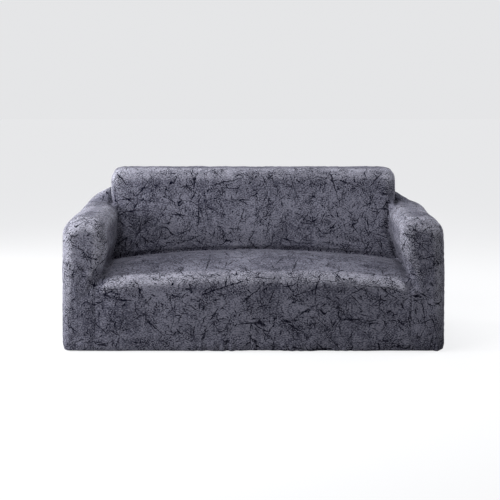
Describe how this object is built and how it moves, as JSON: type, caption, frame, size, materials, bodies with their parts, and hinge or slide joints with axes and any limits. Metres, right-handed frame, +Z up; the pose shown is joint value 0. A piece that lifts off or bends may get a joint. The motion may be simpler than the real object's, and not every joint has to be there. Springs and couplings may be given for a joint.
{
  "type": "sofa slipcover",
  "caption": "Hollow knitted stretch slipcover in its fitted shape over a loveseat, with broad arms, a crowned seat, a low back and an elastic hem drawn in underneath.",
  "frame": {"origin": "middle of the plane of the hem, on the floor side", "axes": "+X along the width, to the right of someone who faces the cover; +Y from the front to the back; +Z up"},
  "size_m": [1.708, 0.8022, 0.7611],
  "materials": {
    "printed_knit": "matt grey-violet stretch jersey with a fine near-black crackle print"
  },
  "bodies": {
    "root": {"seat_and_apron": "printed_knit", "arm_front_left": "printed_knit", "arm_front_right": "printed_knit", "arm_wrap_left": "printed_knit", "arm_wrap_right": "printed_knit", "inside_back": "printed_knit", "outside_back": "printed_knit"}
  },
  "joints": []
}
